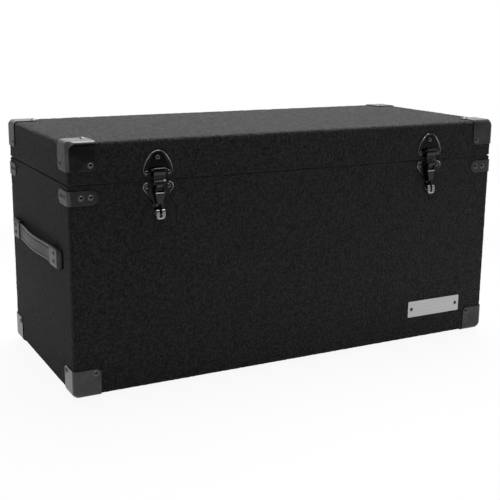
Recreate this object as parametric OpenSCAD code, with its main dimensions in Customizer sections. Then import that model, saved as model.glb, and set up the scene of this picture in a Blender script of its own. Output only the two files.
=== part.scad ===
// Record carrying case: a carpeted plywood trunk with a hinged lid, riveted steel corners,
// two over-centre draw latches and a strap handle on each end.
// Millimetres. X runs along the front, Y from front to back, Z up.
// The origin is on the floor, under the middle of the case.

/* [Case] */
// Width over the carpet, end to end
case_w = 796; // [760:1:850]
// Depth over the carpet, front to back
case_d = 342; // [338:1:380]
// Height of the body, from its underside to the seam
body_h = 329; // [322:1:360]
// Height of the lid above the seam
lid_h = 64; // [61:1:90]
// Thickness of the plywood panels
ply_t = 9; // [7:0.5:10]
// Thickness of the carpet glued over the plywood
carpet_t = 3; // [2:0.5:3.5]
// Radius of the long edges, over the carpet
edge_r = 6; // [5:0.5:7]
// Gap between the two carpet edges along the seam
seam_gap = 1.6; // [1:0.2:3]

/* [Feet] */
// Height of the rubber feet
foot_h = 9; // [7:0.5:15]
// Largest diameter of a foot
foot_d = 32; // [26:1:38]
// Distance of a foot's centre from the two faces beside it
foot_inset = 66; // [64:1:90]

/* [Steel fittings] */
// Thickness of the corner and edge plates
steel_t = 1.4; // [1:0.1:2]
// Length of a corner's plates along each edge
corner_leg = 43; // [38:1:48]
// Size of the rounded tip at each corner of the case
vertex_r = 11; // [9:0.5:14]
// Height of an edge bracket
bracket_h = 22; // [18:1:26]
// Reach of an edge bracket along each face
bracket_leg = 45; // [42:1:56]
// Distance from the seam down to an edge bracket
bracket_drop = 8; // [6:0.5:14]
// Distance between the two rivets of one bracket arm
bracket_pitch = 15; // [12:0.5:18]

/* [Rivets] */
// Diameter of a rivet's domed head
rivet_d = 9.5; // [8:0.5:11]
// Height of a rivet's domed head
rivet_rise = 2.2; // [1.6:0.1:3]
// Diameter of a rivet's shank
shank_d = 4; // [3:0.2:5]

/* [Draw latches] */
// Distance of each latch's middle from the end of the case
latch_inset = 141; // [110:1:220]
// Thickness of the pressed base and keeper plates
plate_t = 1.2; // [1:0.1:1.5]
// Thickness of the lever and of the hook
sheet_t = 1.6; // [1.4:0.1:1.8]
// Diameter of the pivot and link pins
latch_pin_d = 3; // [2.6:0.1:3.2]
// Width of the lever over its cheeks
lever_w = 14.6; // [14:0.2:16]
// Width of the hook
hook_w = 19; // [18.8:0.2:21]
// Width of the keeper's bead, which the hook grips
bead_w = 26; // [23:0.5:28]
// Width of the padlock staple
staple_w = 14.5; // [13:0.5:16]
// Diameter of the padlock hole
padlock_d = 5.6; // [4:0.2:6]

/* [Strap handles] */
// Height of a handle's centre above the underside of the body
handle_z = 211; // [150:1:225]
// Distance between the outer ends of a handle's two caps
handle_len = 270; // [240:1:280]
// Length of an end cap
cap_len = 43; // [38:1:50]
// Height of an end cap
cap_w = 31; // [30:0.5:36]
// How far an end cap stands out
cap_rise = 9; // [8.5:0.5:11]
// Thickness of an end cap's pressed steel
cap_t = 1.6; // [1.2:0.1:2]
// Height of the strap
strap_w = 25; // [22:0.5:26]
// Thickness of the strap
strap_t = 4; // [3:0.5:4.5]
// How far the strap bows out between the caps
strap_bow = 4.5; // [3:0.5:8]
// Distance between the two screws of a cap
cap_pitch = 12.5; // [11:0.5:14]

/* [Name plate] */
// Length of the bare name plate
name_w = 115; // [90:1:130]
// Height of the bare name plate
name_h = 29.5; // [24:0.5:36]
// Thickness of the name plate
name_t = 1; // [0.8:0.1:1.5]
// Distance of the plate's centre from the right end of the case
name_inset = 113.5; // [108:0.5:150]
// Height of the plate's centre above the underside of the body
name_z = 56.2; // [50:0.1:80]
// Distance between the plate's two screws
name_pitch = 100; // [76:1:104]

/* [Hinges] */
// Length of a hinge along the back
hinge_w = 60; // [50:1:80]
// Height of one hinge leaf
leaf_h = 30; // [27:0.5:32]
// Thickness of the hinge leaves
leaf_t = 1.6; // [1.4:0.1:2]
// Outer radius of the knuckles
knuckle_r = 3.4; // [3.2:0.1:3.8]
// Diameter of the hinge pins
hinge_pin_d = 3; // [2.6:0.1:3.2]
// Largest opening of the lid, where the stop tabs meet the body leaf
lid_open = 105; // [95:1:110]

/* [Interior] */
// Thickness of the foam pad on the floor
floor_pad_t = 6; // [4:1:12]
// Thickness of the foam pad in the lid
lid_pad_t = 10; // [5:1:15]
// Thickness of the divider board
divider_t = 6; // [4:0.5:9]
// Height of the divider board
divider_h = 285; // [200:1:290]
// Depth of the grooved rails that hold the divider
rail_d = 8; // [6:0.5:10]

/* [Hidden] */
$fn = 64;
case_h = body_h + lid_h;
seam_z = foot_h + body_h;
top_z = foot_h + case_h;
lip_r = 0.7 * carpet_t;
ball_r = sqrt(2) * vertex_r - edge_r * (sqrt(2) - 1);
wall = carpet_t + ply_t;
latch_x = case_w / 2 - latch_inset;
name_x = case_w / 2 - name_inset;
inner_w = case_w - 2 * wall;
inner_d = case_d - 2 * wall;
floor_z = foot_h + wall;
ceiling_z = top_z - wall;
// Radial clearance of every pin and shank in its hole
pin_fit = 0.05;

// Steel corners: the rivet is concentric with the rounded corner of each plate
corner_tip_r = 8;
corner_rivet = corner_leg - corner_tip_r;

// Edge brackets: the outer rivet is concentric with the rounded end of each arm
bracket_z = seam_z - bracket_drop - bracket_h / 2;
bracket_outer = bracket_leg - bracket_h / 2;
bracket_inner = bracket_outer - bracket_pitch;

// Draw latch side geometry, as [distance out of the carpet, height above the seam]
latch_pin_r = latch_pin_d / 2;
bead_r = 1.8;
bead = [5.4, 16.5];
pivot = [6, -3.5];
link = [4.6, -13];
// Clearance between the closed hook and the keeper's bead
grip_gap = 0.2;
// Angle by which the hook reaches past the top of the bead
grip_past = 15;
grip_r = bead_r + grip_gap + sheet_t / 2;
side_gap = 0.3;
ear_r = 2.6;
ear_x = lever_w / 2 + side_gap;
eye_r = latch_pin_r + 1.45;
eye_w = lever_w - 2 * sheet_t - 2 * side_gap;
// The hook's step runs in front of the ears and the lever's cheeks
step_out = pivot[0] + ear_r + side_gap + sheet_t / 2;
step_low = -5.6;
web_top = -19;
lever_mid = [5.6, -15];
lever_tip = [6.4, -34];
lever_tip_r = 4.2;
lever_eye_r = 2.5;
lever_face = 3.7;
lever_end = 2.4;
blade_end = [7, -50.5];
blade_w = 4;
blade_r = 4.2;
staple_top = -43.5;
staple_low = -60;
staple_rise = 11.5;
staple_floor = 1.5;
slot_w = blade_w + 2 * side_gap;
keeper_rivets = [[0, 35], [-18.5, 12], [18.5, 12]];
base_rivets = [[-18, -9.5], [18, -9.5], [0, -38.5]];
small_rivet_d = 7.6;
small_rivet_rise = 1.7;

// Strap handles: [distance out of the end face] and half lengths from the handle's centre
cap_mouth = handle_len / 2 - cap_len;
cap_screw_y = handle_len / 2 - cap_len / 2;
strap_out = cap_rise - cap_t;
bend_r = (cap_mouth * cap_mouth / 4 + strap_bow * strap_bow / 4) / strap_bow;
bow_steps = 16;
screw_head_d = 8;
screw_rise = 1.8;

// Hinges: the axis lies in the plane of the seam
hinge_x = latch_x;
axis_out = knuckle_r + 0.2;
knuckle_gap = 0.2;
knuckles = 5;
knuckle_w = hinge_w / knuckles;
hinge_pin_r = hinge_pin_d / 2;
tab_len = 6.2;
tab_gap = 0.02;
tab_angle = lid_open - 90 - asin((axis_out - 1.5 * leaf_t - tab_gap) / tab_len);
leaf_rivet_x = hinge_w / 3;

rail_w = divider_t + 2.5 * rail_d;
groove_d = rail_d - 2;
groove_gap = 0.3;
rail_drop = 15;

// ---- Shapes that repeat ----

// Hull of two circles, kept as true arcs and their tangent lines
module taper(p, p_r, q, q_r) {
    turn = atan2(q[1] - p[1], q[0] - p[0]);
    open = acos((p_r - q_r) / norm(q - p));
    left = [cos(turn + open), sin(turn + open)];
    right = [cos(turn - open), sin(turn - open)];
    translate(p) circle(p_r);
    translate(q) circle(q_r);
    polygon([p + p_r * left, q + q_r * left, q + q_r * right, p + p_r * right]);
}

// A plate outline: the hull of three circles
module tri_plate(a, a_r, b, b_r, c, c_r) {
    taper(a, a_r, b, b_r);
    taper(b, b_r, c, c_r);
    taper(c, c_r, a, a_r);
    polygon([a, b, c]);
}

// Sheet metal seen edge on: a band of constant thickness along a chain of points
function unit(v) = v / norm(v);
function side_of(p, i) =
    let(last = len(p) - 1, before = unit(p[max(i, 1)] - p[max(i, 1) - 1]),
        after = unit(p[min(i, last - 1) + 1] - p[min(i, last - 1)]),
        n1 = [-before[1], before[0]], n2 = [-after[1], after[0]])
    (n1 + n2) / (1 + n1 * n2);

module sheet(points, t) {
    last = len(points) - 1;
    polygon([
        for (i = [0 : last]) points[i] + side_of(points, i) * t / 2,
        for (i = [last : -1 : 0]) points[i] - side_of(points, i) * t / 2
    ]);
}

// Rectangle centred on x and standing on y = 0, with its own lower and upper corner radius
module rounded_panel(w, h, low_r, high_r) {
    translate([-w / 2, low_r]) square([w, h - low_r - high_r]);
    translate([low_r - w / 2, 0]) square([w - 2 * low_r, h / 2]);
    translate([high_r - w / 2, h / 2]) square([w - 2 * high_r, h / 2]);
    for (s = [-1, 1]) {
        translate([s * (w / 2 - low_r), low_r]) circle(low_r);
        translate([s * (w / 2 - high_r), h - high_r]) circle(high_r);
    }
}

module rounded_rect(w, h, r) {
    translate([0, -h / 2]) rounded_panel(w, h, r, r);
}

// Box with rounded edges: its floor edges and its ceiling edges have their own radius
module rounded_box(w, d, h, side_r, low_r, high_r) {
    intersection() {
        linear_extrude(h) rounded_rect(w, d, side_r);
        translate([0, d / 2, 0]) rotate([90, 0, 0]) linear_extrude(d) rounded_panel(w, h, low_r, high_r);
        translate([-w / 2, 0, 0]) rotate([90, 0, 90]) linear_extrude(w) rounded_panel(d, h, low_r, high_r);
    }
}

// A front outline, drawn as [across, up], from one distance out of the face to another
module facing(from, to) {
    translate([0, -from, 0]) rotate([90, 0, 0]) linear_extrude(to - from) children();
}

// A side outline, drawn as [out, up], extruded across a width
module across(w) {
    translate([-w / 2, 0, 0]) rotate([90, 0, 90]) mirror([1, 0, 0]) linear_extrude(w) children();
}

module left_and_right() {
    children();
    mirror([1, 0, 0]) children();
}

// Domed rivet or screw head on the plane z = 0, with its shank through a plate below
module rivet(head_d, rise, shank_r, plate) {
    dome_r = (head_d * head_d / 4 + rise * rise) / 2 / rise;
    intersection() {
        translate([0, 0, rise - dome_r]) sphere(dome_r);
        cylinder(d = head_d + 1, h = rise + 1);
    }
    translate([0, 0, -plate]) cylinder(r = shank_r, h = plate + 0.2);
}

// ---- The case's outer form ----

// Moves one corner of the case, drawn at the origin with the case on its positive side
module at_vertex(side_x, side_y, top) {
    translate([side_x * case_w / 2, side_y * case_d / 2, top ? top_z : foot_h])
        mirror([side_x > 0 ? 1 : 0, 0, 0])
            mirror([0, side_y > 0 ? 1 : 0, 0])
                mirror([0, 0, top ? 1 : 0])
                    children();
}

module at_corners(top) {
    for (sx = [-1, 1], sy = [-1, 1]) at_vertex(sx, sy, top) children();
}

// What the ball-shaped tip takes off a corner of the case, for a surface grown by an amount
module tip_cut(grow) {
    difference() {
        translate([-2, -2, -2] * steel_t) cube(vertex_r + 2 * steel_t);
        translate([1, 1, 1] * vertex_r) sphere(ball_r + grow);
    }
}

// One quarter of the case's rounded cross section, grown outward
module edge_quarter(reach, grow) {
    translate([-grow, edge_r]) square([reach + grow, reach - edge_r]);
    translate([edge_r, -grow]) square([reach - edge_r, reach + grow]);
    translate([edge_r, edge_r]) circle(edge_r + grow);
}

// The case's own corner as a solid, grown outward
module corner_solid(grow) {
    reach = corner_leg + 8;
    difference() {
        intersection() {
            translate([0, 0, -grow]) linear_extrude(reach + grow) edge_quarter(reach, grow);
            translate([-grow, 0, 0]) rotate([90, 0, 90]) linear_extrude(reach + grow)
                edge_quarter(reach, grow);
            translate([0, reach, 0]) rotate([90, 0, 0]) linear_extrude(reach + grow)
                edge_quarter(reach, grow);
        }
        tip_cut(grow);
    }
}

// The plywood core of the closed case, which the carpet covers
module core() {
    difference() {
        translate([0, 0, foot_h + carpet_t])
            rounded_box(case_w - 2 * carpet_t, case_d - 2 * carpet_t, case_h - 2 * carpet_t,
                edge_r - carpet_t + 0.5, edge_r - carpet_t + 0.5, edge_r - carpet_t + 0.5);
        at_corners(false) tip_cut(-carpet_t);
        at_corners(true) tip_cut(-carpet_t);
    }
}

// ---- Plywood ----

module ply(low, high) {
    color("burlywood") intersection() {
        core();
        translate(low) cube(high - low);
    }
}

// The four walls between two heights: front, back, left and right
module front_wall(z_low, z_high) {
    ply([-case_w / 2, -case_d / 2, z_low], [case_w / 2, -inner_d / 2, z_high]);
}

module back_wall(z_low, z_high) {
    ply([-case_w / 2, inner_d / 2, z_low], [case_w / 2, case_d / 2, z_high]);
}

module left_wall(z_low, z_high) {
    ply([-case_w / 2, -inner_d / 2, z_low], [-inner_w / 2, inner_d / 2, z_high]);
}

module right_wall(z_low, z_high) {
    ply([inner_w / 2, -inner_d / 2, z_low], [case_w / 2, inner_d / 2, z_high]);
}

module base_bottom_panel() {
    ply([-inner_w / 2, -inner_d / 2, foot_h], [inner_w / 2, inner_d / 2, floor_z]);
}
module base_front_panel() { front_wall(foot_h, seam_z); }
module base_back_panel() { back_wall(foot_h, seam_z); }
module base_left_panel() { left_wall(foot_h, seam_z); }
module base_right_panel() { right_wall(foot_h, seam_z); }

module lid_top_panel() {
    ply([-inner_w / 2, -inner_d / 2, ceiling_z], [inner_w / 2, inner_d / 2, top_z]);
}
module lid_front_rail() { front_wall(seam_z, top_z); }
module lid_back_rail() { back_wall(seam_z, top_z); }
module lid_left_rail() { left_wall(seam_z, top_z); }
module lid_right_rail() { right_wall(seam_z, top_z); }

// ---- Carpet, foam and divider ----

module base_carpet() {
    color("#242424") difference() {
        translate([0, 0, foot_h])
            rounded_box(case_w, case_d, body_h - seam_gap / 2, edge_r, edge_r, lip_r);
        at_corners(false) tip_cut(0);
        core();
    }
}

module lid_carpet() {
    color("#242424") difference() {
        translate([0, 0, seam_z + seam_gap / 2])
            rounded_box(case_w, case_d, lid_h - seam_gap / 2, edge_r, lip_r, edge_r);
        at_corners(true) tip_cut(0);
        core();
    }
}

module floor_pad() {
    color("#3a3a3c") translate([-inner_w / 2 + 1, -inner_d / 2 + 1, floor_z])
        cube([inner_w - 2, inner_d - 2, floor_pad_t]);
}

module lid_pad() {
    color("#3a3a3c") translate([-inner_w / 2 + 1, -inner_d / 2 + 1, ceiling_z - lid_pad_t])
        cube([inner_w - 2, inner_d - 2, lid_pad_t]);
}

// The board slides down between the two rails; its top edge has a finger notch
module divider_board() {
    board_d = inner_d - 2 * (rail_d - groove_d) - 2;
    notch_r = 22;
    color("tan") translate([0, 0, floor_z + floor_pad_t]) difference() {
        translate([-divider_t / 2, -board_d / 2, 0]) cube([divider_t, board_d, divider_h]);
        for (s = [-1, 1]) translate([0, s * notch_r, divider_h]) rotate([0, 90, 0])
            cylinder(r = notch_r, h = divider_t + 2, center = true);
        translate([-divider_t, -notch_r, divider_h - notch_r])
            cube([2 * divider_t, 2 * notch_r, notch_r + 1]);
    }
}

module divider_rails() {
    color("burlywood") for (s = [0, 1]) mirror([0, s, 0]) difference() {
        translate([-rail_w / 2, -inner_d / 2, floor_z + floor_pad_t])
            cube([rail_w, rail_d, divider_h - rail_drop]);
        translate([-divider_t / 2 - groove_gap, -inner_d / 2 + rail_d - groove_d, floor_z])
            cube([divider_t + 2 * groove_gap, groove_d + 1, 2 * divider_h]);
    }
}

// ---- Steel corners and edge brackets ----

module corner_plate_outline() {
    edge = -2 * steel_t;
    translate([edge, edge]) square([corner_rivet - edge, corner_leg - edge]);
    translate([edge, edge]) square([corner_leg - edge, corner_rivet - edge]);
    translate([corner_rivet, corner_rivet]) circle(corner_tip_r);
}

// One pressed corner: three plates that share two rounded edges each and a ball-shaped tip
module steel_corner() {
    band = edge_r + 3 * steel_t;
    shank = shank_d / 2 + pin_fit;
    difference() {
        intersection() {
            difference() {
                corner_solid(steel_t);
                corner_solid(0);
            }
            union() {
                translate([0, 0, -2 * steel_t]) linear_extrude(band) corner_plate_outline();
                translate([-2 * steel_t, 0, 0]) rotate([90, 0, 90]) linear_extrude(band)
                    corner_plate_outline();
                translate([0, band - 2 * steel_t, 0]) rotate([90, 0, 0]) linear_extrude(band)
                    corner_plate_outline();
            }
        }
        on_corner_rivets() translate([0, 0, -2 * steel_t]) cylinder(r = shank, h = 4 * steel_t);
    }
}

// Places a rivet that points out of +Z on each of the three plates of a corner
module on_corner_rivets() {
    c = corner_rivet;
    translate([c, c, -steel_t]) mirror([0, 0, 1]) children();
    translate([c, -steel_t, c]) rotate([90, 0, 0]) children();
    translate([-steel_t, c, c]) rotate([0, -90, 0]) children();
}

module case_rivet() {
    rivet(rivet_d, rivet_rise, shank_d / 2, steel_t);
}

module base_corners() { color("#8c8c8c") at_corners(false) steel_corner(); }
module lid_corners() { color("#8c8c8c") at_corners(true) steel_corner(); }
module base_corner_rivets() { color("#a8a8a8") at_corners(false) on_corner_rivets() case_rivet(); }
module lid_corner_rivets() { color("#a8a8a8") at_corners(true) on_corner_rivets() case_rivet(); }

// Arm of an edge bracket seen square on, with the corner of the case at the left
module bracket_arm_outline() {
    edge = -2 * steel_t;
    translate([edge, -bracket_h / 2]) square([bracket_outer - edge, bracket_h]);
    translate([bracket_outer, 0]) circle(bracket_h / 2);
}

// One bracket: a steel strip bent round the upright edge, just under the seam
module edge_bracket() {
    reach = bracket_leg + 5;
    shank = shank_d / 2 + pin_fit;
    difference() {
        intersection() {
            translate([0, 0, -bracket_h / 2]) linear_extrude(bracket_h) difference() {
                edge_quarter(reach, steel_t);
                edge_quarter(reach + 1, 0);
            }
            translate([0, reach, 0]) rotate([90, 0, 0]) linear_extrude(reach + 2 * steel_t)
                bracket_arm_outline();
            translate([-2 * steel_t, 0, 0]) rotate([90, 0, 90]) linear_extrude(reach + 2 * steel_t)
                bracket_arm_outline();
        }
        on_bracket_rivets() translate([0, 0, -2 * steel_t]) cylinder(r = shank, h = 4 * steel_t);
    }
}

module on_bracket_rivets() {
    for (c = [bracket_inner, bracket_outer]) {
        translate([c, -steel_t, 0]) rotate([90, 0, 0]) children();
        translate([-steel_t, c, 0]) rotate([0, -90, 0]) children();
    }
}

module at_brackets() {
    at_corners(false) translate([0, 0, bracket_z - foot_h]) children();
}

module edge_brackets() { color("#8c8c8c") at_brackets() edge_bracket(); }
module bracket_rivets() { color("#a8a8a8") at_brackets() on_bracket_rivets() case_rivet(); }

// ---- Draw latches ----

module at_latch(side) {
    translate([side * latch_x, -case_d / 2, seam_z]) children();
}

module at_plate_rivets(points) {
    for (p = points) translate([p[0], -plate_t, p[1]]) rotate([90, 0, 0]) children();
}

module small_rivet() {
    rivet(small_rivet_d, small_rivet_rise, shank_d / 2, plate_t);
}

module rivet_holes(points) {
    at_plate_rivets(points) translate([0, 0, -2 * plate_t])
        cylinder(d = shank_d + 2 * pin_fit, h = 4 * plate_t);
}

module keeper_outline(inset) {
    low = 6 - inset;
    tri_plate([0, 32], 14 - inset, [-18.5, 12], low, [18.5, 12], low);
}

// Keeper on the lid: an arched plate with a raised rim and a lip rolled into a bead
module keeper() {
    rim_w = 1.5;
    rim_rise = 0.9;
    color("#1b1b1c") difference() {
        union() {
            facing(0, plate_t) keeper_outline(0);
            facing(plate_t - 0.2, plate_t + rim_rise) difference() {
                keeper_outline(0);
                keeper_outline(rim_w);
                translate([-30, 0]) square([60, bead[1] + 3]);
            }
            across(bead_w) {
                translate(bead) circle(bead_r);
                sheet([[0.7, bead[1] - 5.2], [2.2, bead[1] - 3.4], bead - [0.6, 1.1]], 1.4);
            }
        }
        rivet_holes(keeper_rivets);
        translate([-50, 0, -50]) cube(100);
    }
}

module base_outline() {
    tri_plate([-18, -9.5], 7, [18, -9.5], 7, [0, -30], 10);
    taper([0, -30], 10, [0, -52.6], 7.4);
}

// Base plate on the body: two shoulders, a tail and a pair of ears that hold the lever's pivot
module latch_base() {
    foot = [plate_t / 2, pivot[1] - 4.5];
    color("#1b1b1c") difference() {
        union() {
            facing(0, plate_t) base_outline();
            for (s = [-1, 1]) translate([s * (ear_x + sheet_t / 2), 0, 0]) across(sheet_t) {
                taper(pivot, ear_r, foot, 1.2);
                taper(foot, 1.2, [plate_t / 2, pivot[1] - 0.8], 1.2);
                taper(pivot, ear_r, [plate_t / 2, pivot[1] - 0.8], 1.2);
                polygon([pivot, foot, [plate_t / 2, pivot[1] - 0.8]]);
            }
        }
        across(lever_w * 2) translate(pivot) circle(latch_pin_r + pin_fit);
        rivet_holes(base_rivets);
        translate([-50, 0, -80]) cube(100);
    }
}

// Pivot pin, peened over outside both ears
module latch_pivot() {
    over_ears = 2 * (ear_x + sheet_t);
    color("#39393b") {
        across(over_ears + 0.1) translate(pivot) circle(latch_pin_r);
        for (s = [-1, 1]) translate([s * (over_ears / 2 + 0.4), 0, 0])
            across(0.8) translate(pivot) circle(latch_pin_r + 0.9);
    }
}

// Lever outline seen from the front, tapering to its rounded tip
module lever_front(inset) {
    half = lever_w / 2 - inset;
    tip = lever_tip_r - inset;
    polygon([[-half, 10], [-half, web_top - 1], [-tip, lever_tip[1]], [tip, lever_tip[1]],
        [half, web_top - 1], [half, 10]]);
    translate([0, lever_tip[1]]) circle(tip);
}

// Lever cheek seen from the side
module lever_side() {
    translate(pivot) circle(lever_eye_r);
    polygon([
        pivot - [lever_eye_r, 0], pivot + [lever_eye_r, 0], lever_mid + [lever_face, 0],
        lever_tip + [lever_end, 0], lever_tip + [lever_end, -6], lever_tip - [lever_end, 6],
        lever_tip - [lever_end, 0], lever_mid - [lever_face, 0]
    ]);
}

// Lever: a pressed channel, open at the top for the hook, with a blade for the padlock
module latch_lever() {
    web_face = lever_mid + [lever_face - sheet_t, 0];
    tip_face = lever_tip + [lever_end - sheet_t, 0];
    fall = (tip_face - web_face) / (web_face[1] - tip_face[1]);
    channel_end = lever_tip[1] + 2.5;
    color("#1b1b1c") difference() {
        union() {
            intersection() {
                across(lever_w + 4) lever_side();
                facing(-5, 20) lever_front(0);
            }
            across(blade_w) {
                polygon([
                    lever_tip - [lever_end - 0.4, 0], lever_tip + [lever_end - 0.4, 0],
                    blade_end + [blade_r, 0], blade_end - [blade_r, 0]
                ]);
                translate(blade_end) circle(blade_r);
            }
        }
        // Inside of the channel, open towards the case
        intersection() {
            facing(-6, 21) lever_front(sheet_t);
            across(lever_w + 6) polygon([
                [-4, 20], [18, 20], [18, web_top], web_face + (web_face[1] - web_top) * fall,
                web_face + (web_face[1] - channel_end) * fall, [-4, channel_end]
            ]);
        }
        across(lever_w + 6) {
            translate(pivot) circle(latch_pin_r + pin_fit);
            translate(link) circle(latch_pin_r + pin_fit);
            translate(blade_end) circle(padlock_d / 2);
        }
    }
}

module latch_link_pin() {
    color("#39393b") across(lever_w) translate(link) circle(latch_pin_r);
}

// Hook seen from the side: an eye on the link pin, a step round the pivot and a straight shank
module hook_side() {
    front = bead + [grip_r, 0];
    translate(link) circle(eye_r);
    sheet([link + [1.3, 1.6], [step_out, step_low], [step_out, -0.8], [link[0] + 1.6, 1.8],
        [link[0] + 1.8, 9], front - [0, 3.2], front], sheet_t);
}

// The grip: part of a ring over the bead
module hook_grip() {
    intersection() {
        translate(bead) difference() {
            circle(grip_r + sheet_t / 2);
            circle(grip_r - sheet_t / 2);
        }
        translate(bead) polygon([
            [0, 0], [12, 0], [12, 12], 12 * [-sin(grip_past), cos(grip_past)]
        ]);
    }
}

// Hook outline seen from the front: a wide plate above the narrow eye
module hook_front() {
    low = link[1] - eye_r - 1;
    neck = step_low + 2;
    high = bead[1] + 10;
    polygon([
        [-eye_w / 2, low], [eye_w / 2, low], [eye_w / 2, neck - 1.5], [hook_w / 2, neck],
        [hook_w / 2, high], [-hook_w / 2, high], [-hook_w / 2, neck], [-eye_w / 2, neck - 1.5]
    ]);
}

module latch_hook() {
    color("#1b1b1c") intersection() {
        difference() {
            union() {
                across(hook_w + 4) hook_side();
                across(hook_w + 4) hook_grip();
            }
            across(hook_w + 6) translate(link) circle(latch_pin_r + pin_fit);
        }
        facing(-5, 20) hook_front();
    }
}

// Padlock staple: a cast block with a slot for the lever's blade and a cross hole
module padlock_staple() {
    half = staple_w / 2;
    round = 3.5;
    color("#d8d8d8") difference() {
        intersection() {
            facing(plate_t, staple_rise) {
                translate([0, staple_low + half]) circle(half);
                translate([-half, staple_low + half]) square([staple_w, staple_top - staple_low - half]);
            }
            across(staple_w + 1) {
                translate([0, staple_low]) square([staple_rise - round, staple_top - staple_low]);
                translate([0, staple_low + round])
                    square([staple_rise, staple_top - staple_low - 2 * round]);
                translate([staple_rise - round, staple_low + round]) circle(round);
                translate([staple_rise - round, staple_top - round]) circle(round);
            }
        }
        facing(plate_t + staple_floor, staple_rise + 1)
            translate([-slot_w / 2, staple_low + 4]) square([slot_w, staple_top - staple_low]);
        across(staple_w + 1) translate(blade_end) circle(padlock_d / 2);
    }
}

module latch_base_left() { at_latch(-1) latch_base(); }
module latch_base_right() { at_latch(1) latch_base(); }
module latch_pivot_left() { at_latch(-1) latch_pivot(); }
module latch_pivot_right() { at_latch(1) latch_pivot(); }
module padlock_staple_left() { at_latch(-1) padlock_staple(); }
module padlock_staple_right() { at_latch(1) padlock_staple(); }
module latch_keeper_left() { at_latch(-1) keeper(); }
module latch_keeper_right() { at_latch(1) keeper(); }
module latch_lever_left() { at_latch(-1) latch_lever(); }
module latch_lever_right() { at_latch(1) latch_lever(); }
module latch_link_pin_left() { at_latch(-1) latch_link_pin(); }
module latch_link_pin_right() { at_latch(1) latch_link_pin(); }
module latch_hook_left() { at_latch(-1) latch_hook(); }
module latch_hook_right() { at_latch(1) latch_hook(); }

module latch_base_rivets() {
    color("#5a5a5c") for (s = [-1, 1]) at_latch(s) at_plate_rivets(base_rivets) small_rivet();
}

module latch_keeper_rivets() {
    color("#5a5a5c") for (s = [-1, 1]) at_latch(s) at_plate_rivets(keeper_rivets) small_rivet();
}

// ---- Strap handles ----

// A handle is drawn as if on the front face: out is -Y, its length runs along X
module at_end(side) {
    translate([side * case_w / 2, 0, foot_h + handle_z]) rotate([0, 0, side * 90]) children();
}

// Cap profile from above: [along, out], the mouth at zero and the rounded outer end at cap_len
module cap_plan(inset) {
    round = cap_rise - 2;
    square([cap_len - round, cap_rise - inset]);
    translate([0, -1]) square([cap_len - inset, 3]);
    translate([cap_len - round, 2]) circle(round - inset);
}

// End cap: a pressed box, open to the case and at the mouth, with a rolled lip at the mouth
module end_cap() {
    corner = 4;
    edge = 2.5;
    height = cap_w / 2;
    translate([cap_mouth, 0, 0]) difference() {
        intersection() {
            translate([0, 0, -height]) mirror([0, 1, 0]) linear_extrude(cap_w) cap_plan(0);
            facing(-1, cap_rise + 1) {
                translate([0, -height]) square([cap_len - corner, cap_w]);
                translate([0, corner - height]) square([cap_len, cap_w - 2 * corner]);
                for (s = [-1, 1]) translate([cap_len - corner, s * (height - corner)]) circle(corner);
            }
            translate([-1, 0, 0]) rotate([90, 0, 90]) mirror([1, 0, 0]) linear_extrude(cap_len + 2) {
                translate([-1, -height]) square([cap_rise + 1 - edge, cap_w]);
                translate([-1, edge - height]) square([cap_rise + 1, cap_w - 2 * edge]);
                for (s = [-1, 1]) translate([cap_rise - edge, s * (height - edge)]) circle(edge);
            }
        }
        translate([-1, 0, cap_t - height]) mirror([0, 1, 0]) linear_extrude(cap_w - 2 * cap_t) {
            translate([0, -1]) square([cap_len + 1 - cap_t * 2, 1 + cap_rise / 2]);
            square([cap_len + 1 - cap_rise, strap_out]);
        }
        translate([-50, 0, -50]) cube(100);
        for (s = [-1, 1]) translate([cap_len / 2, 0, s * cap_pitch / 2]) rotate([90, 0, 0])
            cylinder(d = shank_d + 2 * pin_fit, h = 2 * cap_rise, center = true);
    }
}

// How far the strap's middle line has bowed out at a distance from the handle's centre
function bow_at(run) =
    run >= cap_mouth ? 0 :
    run >= cap_mouth / 2 ? bend_r - sqrt(bend_r * bend_r - (cap_mouth - run) * (cap_mouth - run)) :
    strap_bow - bend_r + sqrt(bend_r * bend_r - run * run);

// Strap seen from above: straight ends inside the caps and one gentle double bend between them
module strap_plan(t) {
    end = cap_mouth + cap_len - cap_rise - 1;
    middle = strap_out - strap_t / 2;
    runs = [-end, for (i = [-bow_steps : bow_steps]) cap_mouth * i / bow_steps, end];
    polygon([
        for (run = runs) [run, -middle - t / 2 - bow_at(abs(run))],
        for (i = [len(runs) - 1 : -1 : 0]) [runs[i], t / 2 - middle - bow_at(abs(runs[i]))]
    ]);
}

// Strap with a raised border along both edges and slots for the cap screws
module strap() {
    slot_l = 12;
    border_w = 3;
    border_rise = 0.6;
    slot_d = shank_d + 0.6;
    color("#5f5f61") difference() {
        union() {
            linear_extrude(strap_w, center = true) strap_plan(strap_t - border_rise);
            for (s = [-1, 1]) translate([0, 0, s * (strap_w - border_w) / 2])
                linear_extrude(border_w, center = true) strap_plan(strap_t);
        }
        for (s = [-1, 1], t = [-1, 1]) translate([s * cap_screw_y, 0, t * cap_pitch / 2])
            facing(-1, cap_rise + 1) {
                square([slot_l - slot_d, slot_d], center = true);
                for (e = [-1, 1]) translate([e * (slot_l - slot_d) / 2, 0]) circle(d = slot_d);
            }
    }
}

module cap_screws() {
    for (s = [-1, 1], t = [-1, 1])
        translate([s * cap_screw_y, -cap_rise, t * cap_pitch / 2]) rotate([90, 0, 0])
            rivet(screw_head_d, screw_rise, shank_d / 2, cap_rise);
}

module handle_caps_left() { color("#8a8a8a") at_end(-1) left_and_right() end_cap(); }
module handle_caps_right() { color("#8a8a8a") at_end(1) left_and_right() end_cap(); }
module handle_strap_left() { at_end(-1) strap(); }
module handle_strap_right() { at_end(1) strap(); }
module handle_screws() { color("#b0b0b0") for (s = [-1, 1]) at_end(s) cap_screws(); }

// ---- Bare name plate ----

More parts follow.
